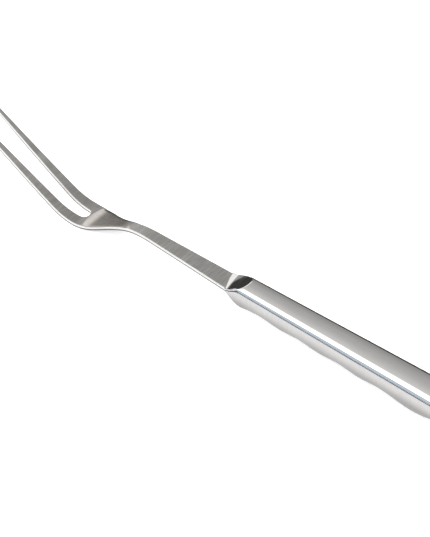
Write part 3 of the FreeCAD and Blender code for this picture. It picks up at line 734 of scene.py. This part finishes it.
class HandleForm:
    """The handle's outside, as sections across it laid out from the neck."""

    def __init__(self, sizes, strip):
        self.sizes = sizes
        self.strip = strip
        self.sections = {}

    def nose(self, x):
        return math.sin(math.pi / 2 * min(max((x + self.sizes.nose_lap) / self.sizes.nose_length, 0.0), 1.0))

    def closing(self, x, span):
        inward = max((x - self.sizes.length + span) / span, 0.0)
        return math.sqrt(max(1 - inward ** 2, 0.0))

    def width(self, x):
        sizes, strip = self.sizes, self.strip
        full = sizes.front_half + (sizes.rear_half - sizes.front_half) * x / sizes.length
        narrow = sizes.nose_lap / strip.waist_distance
        nose = strip.neck_half + (strip.waist_half - strip.neck_half) * narrow
        return (nose + (full - nose) * self.nose(x)) * self.closing(x, sizes.side_rounding)

    def crown(self, x):
        sizes = self.sizes
        full = sizes.front_crown + (sizes.rear_crown - sizes.front_crown) * x / sizes.length
        return full * self.closing(x, sizes.crown_rounding)

    def belly(self, x):
        sizes, strip = self.sizes, self.strip
        wave_end = sizes.first_valley + (sizes.valleys - 1) * sizes.grip_pitch
        gripped = min(x, wave_end) - sizes.first_valley
        grips = (sizes.grip_depth + sizes.grip_taper * gripped
                 - sizes.grip_wave * math.cos(2 * math.pi * gripped / sizes.grip_pitch))
        swell = even_rise((x - wave_end) / (sizes.palm_swell - wave_end))
        full = grips + (sizes.rest_depth - grips) * swell
        nose = strip.below_seam + strip.thickness / 2
        return (nose + (full - nose) * self.nose(x)) * self.closing(x, sizes.length - sizes.palm_swell)

    def squareness(self, x):
        """Squareness of the belly's section, from the nose backwards."""
        filled = even_rise(x / (1.2 * self.sizes.nose_length))
        nose = self.sizes.nose_squareness
        return nose + (self.sizes.belly_squareness - nose) * filled

    def section(self, x):
        """Half width, crown height, belly depth and squareness of each half at x."""
        if x not in self.sections:
            reach = [max(part(x), MERGE) for part in (self.width, self.crown, self.belly)]
            self.sections[x] = (*reach, self.sizes.crown_squareness, self.squareness(x))
        return self.sections[x]

    def point(self, x, bearing):
        """Place across and up at a bearing from level, before the scoop is taken out."""
        width, crown, belly, crown_square, belly_square = self.section(x)
        above = bearing > 0 and math.sin(bearing) > 0
        height, square = (crown, crown_square) if above else (belly, belly_square)
        across = abs(math.cos(bearing)) / width
        upright = abs(math.sin(bearing)) / height
        radius = (across ** square + upright ** square) ** (-1 / square)
        return radius * math.cos(bearing), radius * math.sin(bearing)

    def bearing_at(self, x, height):
        """Bearing of the section's side where it is at a height."""
        low, high = halved(lambda bearing: self.point(x, bearing)[1] < height, -math.pi / 2, math.pi / 2, 44)
        return (low + high) / 2

    def scoop(self, x, y):
        """Height of the scoop that runs up from the strip's top face to the crown."""
        sizes, strip = self.sizes, self.strip
        start = -sizes.scoop_start - sizes.scoop_skew * y
        top = strip.thickness / 2 - strip.below_seam - start * math.tan(strip.shank_rise)
        length_here = max(sizes.facet_length + sizes.facet_spread * y, 0.4 * MM)
        facet = min(max(x - start, 0.0), length_here)
        front, rear = math.tan(sizes.facet_slope), math.tan(sizes.facet_end_slope)
        rise = front * facet + (rear - front) * facet ** 2 / (2 * length_here)
        beyond = max(x - start - length_here, 0.0)
        face = math.tan(sizes.scoop_slope)
        rise += face * beyond + beyond ** 2 / (2 * sizes.scoop_face)
        rise -= (face - rear) * sizes.facet_round * (1 - math.exp(-beyond / sizes.facet_round))
        return top + rise - sizes.scoop_tilt * y * min(beyond / sizes.seam_start, 1.0)

    def seam(self, x):
        """Height of the lower shell's lip: level along the handle, dropping round the strip at the neck."""
        sizes, strip = self.sizes, self.strip
        if x < 0:
            lap = min(-x / sizes.nose_lap, 1.0)
            return -strip.below_seam - 0.7 * lap * strip.thickness / 2
        rise = min(x / sizes.seam_start, 1.0)
        return -strip.below_seam * (1 - rise + 0.16 * math.sin(2 * math.pi * rise) / math.pi)

    def upper_lip(self, x, side):
        """Height of the upper shell's lip: just over the seam, opened to a wedge under the scoop's side."""
        sizes = self.sizes
        peak = WEDGE_PEAK * sizes.seam_start
        opening = (x + MM) / (peak + MM) if x < peak else 1 - (x - peak) / (WEDGE_CLOSE * sizes.seam_start)
        lap = min(max(-x / sizes.nose_lap, 0.0), 1.0)
        lip = (self.seam(x) + sizes.seam_gap + (sizes.wedge_height - sizes.seam_gap) * max(opening, 0.0)
               + LIP_LAP * lap * self.strip.thickness / 2)
        return min(lip, max(self.scoop(x, side * self.width(x)) - sizes.lip_round, self.seam(x) + MERGE))

    def round_section(self, x, lip, up, column):
        """Point of one half's section, from one lip over to the other, and its inset at the lips."""
        sizes = self.sizes
        from_lip = min(column, SHELL_COLUMNS - column)
        lip_round = sizes.upper_lip_round if up > 0 else sizes.lip_round
        if from_lip < LIP_COLUMNS:
            roll = math.pi / 2 * from_lip / LIP_COLUMNS
            bearing = self.bearing_at(x, lip + up * lip_round * (1 - math.cos(roll)))
            inset = sizes.lip_depth * (1 - math.sin(roll))
            over = column > SHELL_COLUMNS / 2
        else:
            first = self.bearing_at(x, lip + up * lip_round)
            part = crowded((column - LIP_COLUMNS) / (SHELL_COLUMNS - 2 * LIP_COLUMNS))
            bearing, inset, over = first + (up * math.pi - 2 * first) * part, 0.0, False
        y, z = self.point(x, up * math.pi - bearing if over else bearing)
        return y, z, inset

    def inwards(self, x, y, z, inset):
        """Point moved inwards, square to the outline seen from above."""
        reach = 0.02 * MM
        slope = (self.width(min(x + reach, self.sizes.length)) - self.width(x - reach)) / (2 * reach)
        across = Vector((-slope, 1.0)).normalized()
        if x > self.sizes.length - reach:
            across = Vector((1.0, 0.0))
        side = math.copysign(max(abs(y) - inset * across.y, 0.0), y)
        return x - inset * across.x, side, z

    def stations(self, front, rear):
        """Places of the rows: close at the nose and where the rear end closes."""
        close_end, swell = 14 * MM, self.sizes.length - self.sizes.side_rounding
        rows = [front]
        while rows[-1] < rear - MERGE:
            x = rows[-1]
            if x < close_end:
                step = 0.16 * MM
            elif x < swell:
                step = 0.8 * MM
            else:
                left = math.asin(min((x - swell) / self.sizes.side_rounding, 1.0))
                next_angle = left + math.pi / 2 / REAR_ROWS
                step = self.sizes.side_rounding * math.sin(min(next_angle, math.pi / 2)) + swell - x
            rows.append(min(x + step, rear))
        return rows


def crowded(value):
    """Share that moves slowly at both ends."""
    return 0.45 * value + 0.55 * even_rise(value)


def upper_pane(form, front, rear, skewed=False):
    """Crown and scoop from the near lip over to the far lip."""
    rows = form.stations(front, rear)
    sizes, blend_end = form.sizes, 9 * MM

    def place(u, v):
        x = rows[round(u * (len(rows) - 1))]
        if skewed:
            x += sizes.scoop_skew * form.width(x) * math.cos(math.pi * v) * (1 - u)
        lip = form.upper_lip(x, -1 if v < 0.5 else 1)
        y, z, inset = form.round_section(x, lip, 1, SHELL_COLUMNS - round(v * SHELL_COLUMNS))
        softness = sizes.ridge_round * (1 + 3 * even_rise((blend_end - x) / blend_end))
        height = soft_min(z, form.scoop(x, y), softness)
        return form.inwards(x, y, max(height, min(lip, z)), inset)

    return pane(len(rows) - 1, SHELL_COLUMNS, place)


def lower_pane(form, front, rear):
    """Belly from the far lip round to the near lip."""
    rows = form.stations(front, rear)

    def place(u, v):
        x = rows[round(u * (len(rows) - 1))]
        y, z, inset = form.round_section(x, form.seam(x), -1, round(v * SHELL_COLUMNS))
        return form.inwards(x, y, z, inset)

    return pane(len(rows) - 1, SHELL_COLUMNS, place)


def bead_pane(form, near):
    """Weld metal down in the seam on one side."""
    rows = form.stations(-0.4 * MM, form.sizes.length)
    sizes = form.sizes
    side = -1 if near else 1

    def place(u, v):
        x = rows[round(u * (len(rows) - 1))]
        low, high = form.seam(x) - sizes.lip_round, form.upper_lip(x, side) + sizes.upper_lip_round
        height = low + (high - low) * (1 - v if near else v)
        if x > sizes.length - MERGE:
            height *= 0.2
        y = form.point(x, form.bearing_at(x, height))[0]
        bulge = math.sin(math.pi * v)
        return form.inwards(x, side * y, height, sizes.bead_depth + 0.25 * MM * (1 - bulge))

    return pane(len(rows) - 1, BEAD_COLUMNS, place)


# ---- operators
class FORK_OT_strip(bpy.types.Operator):
    """Add the bent strip with its two tines"""

    bl_idname = "roasting_fork.strip"
    bl_label = "Add Fork Strip"

    def execute(self, context):
        sizes = context.scene.fork_strip
        mesh = shape_strip(sizes)
        work_strip(mesh, sizes)
        strip = new_piece("fork_strip", mesh, strip_material(), "fork_head")
        samples = strip_samples(centre_line(sizes))
        # Depth below the top face in thicknesses, which masks the painted shade on the lower half of the
        # sides.
        lower = strip.data.attributes.new("lower_side", "FLOAT", "POINT")
        for vertex, value in zip(strip.data.vertices, lower.data):
            value.value = 0.5 - height_over(samples, vertex.co) / sizes.thickness
        normals = strip.modifiers.new("even_faces", "WEIGHTED_NORMAL")
        normals.weight = 70
        return {"FINISHED"}


class FORK_OT_shells(bpy.types.Operator):
    """Add the handle's two pressed shells"""

    bl_idname = "roasting_fork.shells"
    bl_label = "Add Handle Shells"

    def execute(self, context):
        sizes = context.scene.handle_shells
        form = HandleForm(sizes, context.scene.fork_strip)
        material = shell_material()
        upper = upper_pane(form, sizes.saddle_length, sizes.length)
        lower = lower_pane(form, NOSE_WELD - sizes.nose_lap, sizes.length)
        new_piece("upper_shell", upper, material, "handle_upper_shell", sizes.wall)
        new_piece("lower_shell", lower, material, "handle_lower_shell", sizes.wall)
        return {"FINISHED"}


class FORK_OT_welds(bpy.types.Operator):
    """Add the weld metal at the neck and along the seams"""

    bl_idname = "roasting_fork.welds"
    bl_label = "Add Welds"

    def execute(self, context):
        sizes = context.scene.handle_shells
        form = HandleForm(sizes, context.scene.fork_strip)
        polished, beads = bpy.data.materials["polished_shell_steel"], bead_material()
        saddle = upper_pane(form, -sizes.scoop_start, sizes.saddle_length, True)
        nose = lower_pane(form, -sizes.nose_lap, NOSE_WELD - sizes.nose_lap)
        near, far = bead_pane(form, True), bead_pane(form, False)
        for name, mesh, material, node, wall in (
                ("neck_saddle", saddle, polished, "neck_weld_top", SADDLE_WALL),
                ("nose_weld", nose, polished, "neck_weld_under", sizes.wall),
                ("seam_bead_near", near, beads, "seam_weld_near", BEAD_WALL),
                ("seam_bead_far", far, beads, "seam_weld_far", BEAD_WALL)):
            new_piece(name, mesh, material, node, wall)
        return {"FINISHED"}


def add_world():
    """Grey surroundings with a soft box on the near side and two bright spots behind; white to the camera."""
    world = bpy.data.worlds.new("soft_studio")
    bpy.context.scene.world = world
    graph = Graph(world)
    direction = graph.add("TexCoord", output="Generated")
    _, north, up = graph.parts(direction)
    level = up.math("ARCTAN2", north * -1.0) * (180 / math.pi)
    soft_box = level.ramp(10.0, 34.0) * level.ramp(84.0, 66.0)
    walls = level.ramp(170.0, 70.0).blend(0.355, 0.78)
    near_wall = level.ramp(30.0, -10.0)
    shoulder_spot = graph.cone(direction, (-0.72, 0.56, 0.43), 11.0, 5.0)
    facet_spot = graph.cone(direction, (-0.745, 0.409, 0.526), 8.5, 5.0)
    spots = shoulder_spot.math("MAXIMUM", facet_spot)
    strength = soft_box.blend(walls, 2.4)
    strength = near_wall.blend(strength, 0.5)
    strength = spots.blend(strength, 1.15)
    low_wall = level.ramp(40.0, 5.0) * level.ramp(-60.0, 0.0)
    tint = graph.mix(low_wall, (1.0, 0.99, 0.975), (0.72, 0.85, 1.0))
    camera = graph.add("LightPath", output="Is Camera Ray")
    strength = camera.blend(strength, 1.02)
    tint = graph.mix(camera, tint, WHITE)
    surface = graph.add("Background", {"Color": tint, "Strength": strength})
    graph.add("OutputWorld", {"Surface": surface})


def stage_object(name, mesh, graph, surface):
    """Object of the scene around the fork, with the shader that ends its graph."""
    graph.add("OutputMaterial", {"Surface": surface})
    thing = new_object(name, mesh, graph.owner)
    return thing


def flag(name, first, last, tint, glow):
    """Card that only reflections see. An edge is two X from the neck, then Y and Z; glow gives brightness."""
    mesh = bmesh.new()
    bmesh.ops.create_grid(mesh, x_segments=1, y_segments=1, size=0.5)
    neck = Vector((neck_x(), 0.0, 0.0))
    for vertex in mesh.verts:
        low, high = [Vector((edge[0], *edge[2:])).lerp(Vector(edge[1:]), vertex.co.x + 0.5)
                     for edge in (first, last)]
        vertex.co = low.lerp(high, vertex.co.y + 0.5) + neck
    graph, place = new_graph(name)
    sockets = {"Color": opaque(tint), "Strength": glow(*graph.parts(place))}
    card = stage_object(name, mesh, graph, graph.add("Emission", sockets))
    for ray in ("camera", "diffuse", "shadow", "transmission"):
        setattr(card, f"visible_{ray}", False)


def add_floor(settings):
    """Round pale floor, lit from under like a light table."""
    mesh = bmesh.new()
    bmesh.ops.create_circle(mesh, cap_ends=True, segments=96, radius=settings.floor_radius)
    graph = Graph(bpy.data.materials.new("pale_floor"))
    sockets = {"Base Color": opaque(settings.floor_colour), "Roughness": 0.9, "Specular IOR Level": 0.1,
               "Emission Color": opaque(WHITE), "Emission Strength": settings.floor_glow}
    stage_object("floor", mesh, graph, graph.add("BsdfPrincipled", sockets))


def add_flags(settings):
    """Dark cards behind the fork and on the floor, for the polished steel to mirror."""
    warm, cool = (1.0, 0.98, 0.96), (0.8, 0.9, 1.0)
    left, middle, right, front, back, ground = -0.42, -0.06, 0.26, 0.0105, 0.075, 0.0004

    def dark_below(x, _y, z):
        lit = z.ramp(0.022, 0.054) * (x - neck_x()).ramp(-0.15, -0.17)
        return lit.blend(settings.flag_grey, settings.flag_top)

    def dark_close(_x, y, _z):
        return ((y * -1.0) ** -1.0 * seam_z()).ramp(0.02, 0.6).blend(1.0, 0.5)

    flag("low_flag", (middle, right, back, 0.0), (middle, right, back, 0.026), warm, dark_below)
    flag("high_flag", (left, middle, back, 0.0), (left, middle, back, 0.05), warm, dark_below)
    flag("floor_flag", (left, right, front, ground), (left, right, back, ground), warm, dark_below)
    flag("near_flag", (-0.32, 0.2, -0.6, ground), (-0.02, 0.2, -0.022, ground), cool, dark_close)


def add_lamp(settings):
    """Soft round lamp overhead that reflections don't see."""
    lamp = bpy.data.lights.new("overhead", "AREA")
    lamp.shape = "DISK"
    lamp.size = 1.2
    lamp.energy = settings.overhead * math.pi ** 2 / 4 * lamp.size ** 2
    light = bpy.data.objects.new("overhead", lamp)
    light.location = (0.0, 0.0, 1.3)
    light.visible_glossy = False
    bpy.context.scene.collection.objects.link(light)


def add_camera(settings):
    """Camera aimed at the neck, then turned and tilted a little away from it."""
    azimuth, elevation = settings.azimuth, settings.elevation
    right = Vector((math.cos(azimuth), math.sin(azimuth), 0.0))
    back = Vector((right.y * math.cos(elevation), -right.x * math.cos(elevation), math.sin(elevation)))
    place = at_rest((0.0, 0.0, 0.0)) + back * settings.distance
    axes = Matrix((right, back.cross(right), back)).transposed().to_4x4()
    lens = bpy.data.cameras.new("camera")
    lens.lens = settings.focal_length
    lens.sensor_width = 36.0
    lens.clip_start = 0.01
    lens.clip_end = 20.0
    camera = bpy.data.objects.new("camera", lens)
    turned = Matrix.Rotation(settings.pan, 4, "Y") @ Matrix.Rotation(settings.tilt, 4, "X")
    camera.matrix_world = Matrix.Translation(place) @ axes @ turned
    bpy.context.scene.collection.objects.link(camera)
    bpy.context.scene.camera = camera


class FORK_OT_studio(bpy.types.Operator):
    """Add the floor, the soft light and the camera"""

    bl_idname = "roasting_fork.studio"
    bl_label = "Add Studio"

    def execute(self, context):
        context.scene.view_settings.view_transform = "Standard"
        settings = context.scene.studio
        add_floor(settings)
        add_flags(settings)
        add_lamp(settings)
        add_world()
        add_camera(settings)
        return {"FINISHED"}


class FORK_PT_panel(bpy.types.Panel):
    """Buttons for the pieces in the 3D view's sidebar"""

    bl_idname = "FORK_PT_panel"
    bl_label = "Roasting Fork"
    bl_space_type = "VIEW_3D"
    bl_region_type = "UI"
    bl_category = "Roasting Fork"

    def draw(self, context):
        for operator in OPERATORS:
            self.layout.operator(operator.bl_idname)
        for group, kind in GROUPS.items():
            box = self.layout.box()
            for name in kind.__annotations__:
                box.prop(getattr(context.scene, group), name)


GROUPS = {
    "fork_strip": ForkStripSizes,
    "handle_shells": HandleSizes,
    "steel_finish": SteelFinish,
    "studio": StudioSettings,
}
OPERATORS = (FORK_OT_strip, FORK_OT_shells, FORK_OT_welds, FORK_OT_studio)


def register():
    for group, kind in GROUPS.items():
        bpy.utils.register_class(kind)
        setattr(bpy.types.Scene, group, PointerProperty(type=kind))
    for kind in (*OPERATORS, FORK_PT_panel):
        bpy.utils.register_class(kind)


def unregister():
    for kind in (FORK_PT_panel, *reversed(OPERATORS)):
        bpy.utils.unregister_class(kind)
    for group, kind in reversed(GROUPS.items()):
        delattr(bpy.types.Scene, group)
        bpy.utils.unregister_class(kind)


def main():
    register()
    bpy.ops.roasting_fork.strip()
    bpy.ops.roasting_fork.shells()
    bpy.ops.roasting_fork.welds()
    bpy.ops.roasting_fork.studio()
    bpy.context.view_layer.update()


if __name__ == "__main__":
    main()
